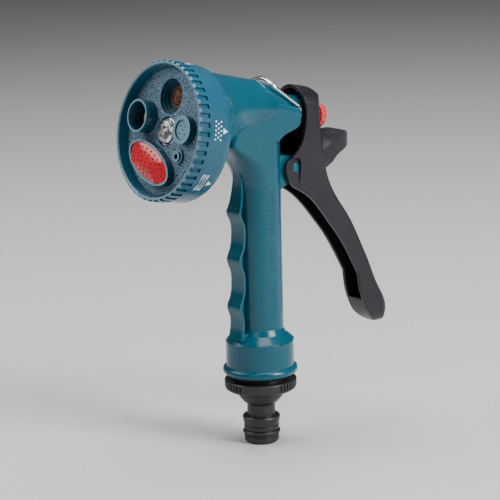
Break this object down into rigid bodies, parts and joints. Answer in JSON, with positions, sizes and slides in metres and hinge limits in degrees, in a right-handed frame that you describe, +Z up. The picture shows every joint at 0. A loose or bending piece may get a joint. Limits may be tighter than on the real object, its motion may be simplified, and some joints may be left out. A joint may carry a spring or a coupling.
{
  "type": "hose spray nozzle",
  "caption": "Pistol-grip hose spray nozzle with rear trigger lever, turning multi-pattern spray dial, flow knob, wire hold-open bail and quick-connect hose tail.",
  "frame": {"origin": "centre of the hose tail's bottom end face", "axes": "+Z up along the hose tail and handle, the spray dial faces -Y and tilts up 12.09 degrees, the trigger lever is at +Y, X = 0 is the plane of symmetry"},
  "size_m": [0.0606, 0.1315, 0.178],
  "materials": {
    "body_teal": "smooth semi-gloss teal moulding",
    "dial_teal": "semi-gloss blue-teal moulding, stippled face",
    "adaptor_black": "satin black moulding",
    "lever_black": "satin black moulding",
    "red_plastic": "glossy red moulding",
    "seal_rubber": "soft black rubber",
    "screen_white": "off-white moulded mesh",
    "core_brass": "dull turned brass",
    "plated_steel": "bright zinc plate",
    "spring_steel": "drawn spring wire",
    "bright_wire": "polished wire"
  },
  "bodies": {
    "housing": {"body_shell": "body_teal", "pivot_pin": "body_teal", "hose_adaptor": "adaptor_black", "tail_o_ring": "seal_rubber", "filter_screen": "screen_white", "inlet_washer": "seal_rubber", "dial_screw": "plated_steel", "screw_washer": "plated_steel", "port_seal": "seal_rubber", "port_seal_spring": "spring_steel", "detent_ball": "plated_steel", "detent_spring": "spring_steel", "valve_seat": "core_brass", "gland_nut": "core_brass", "stem_o_ring": "seal_rubber", "return_spring": "spring_steel"},
    "dial": {"dial_shell": "dial_teal", "dial_backplate": "dial_teal", "rose_plate": "red_plastic", "cone_core": "core_brass", "mist_insert": "dial_teal", "jet_insert": "screen_white"},
    "trigger": {"lever": "lever_black"},
    "stem": {"valve_stem": "core_brass", "stem_clip": "spring_steel", "valve_seal": "seal_rubber", "seal_cup": "core_brass"},
    "knob_carrier": {"knob_washer": "plated_steel"},
    "knob": {"adjusting_knob": "red_plastic"},
    "bail": {"wire_bail": "bright_wire"}
  },
  "joints": [
    {"name": "trigger_pivot", "type": "hinge", "parent": "housing", "child": "trigger", "pos_m": [0, 0.0168, 0.1245], "axis": [-1, 0, 0], "range_deg": [0, 13]},
    {"name": "stem_slide", "type": "slide", "parent": "housing", "child": "stem", "axis": [0, 0.9778, -0.2094], "range_m": [0, 0.005], "stiffness_N_per_m": 60, "springref_m": -0.003, "deforming": ["return_spring"]},
    {"name": "knob_advance", "type": "slide", "parent": "stem", "child": "knob_carrier", "axis": [0, 0.9778, -0.2094], "range_m": [0, 0.0015]},
    {"name": "knob_turn", "type": "hinge", "parent": "knob_carrier", "child": "knob", "pos_m": [0, 0.038, 0.1446], "axis": [0, 0.9778, -0.2094], "range_deg": [0, 720]},
    {"name": "dial_turn", "type": "hinge", "parent": "housing", "child": "dial", "pos_m": [0, -0.05243, 0.1485], "axis": [0, -0.9778, 0.2094], "continuous": true},
    {"name": "bail_swing", "type": "hinge", "parent": "housing", "child": "bail", "pos_m": [0, 0.01877, 0.15191], "axis": [-1, 0, 0], "range_deg": [0, 42]}
  ],
  "couplings": [
    {"joint": "stem_slide", "follows": "trigger_pivot", "m_per_rad": 0.022},
    {"joint": "knob_advance", "follows": "knob_turn", "m_per_rad": 0.0001114}
  ]
}
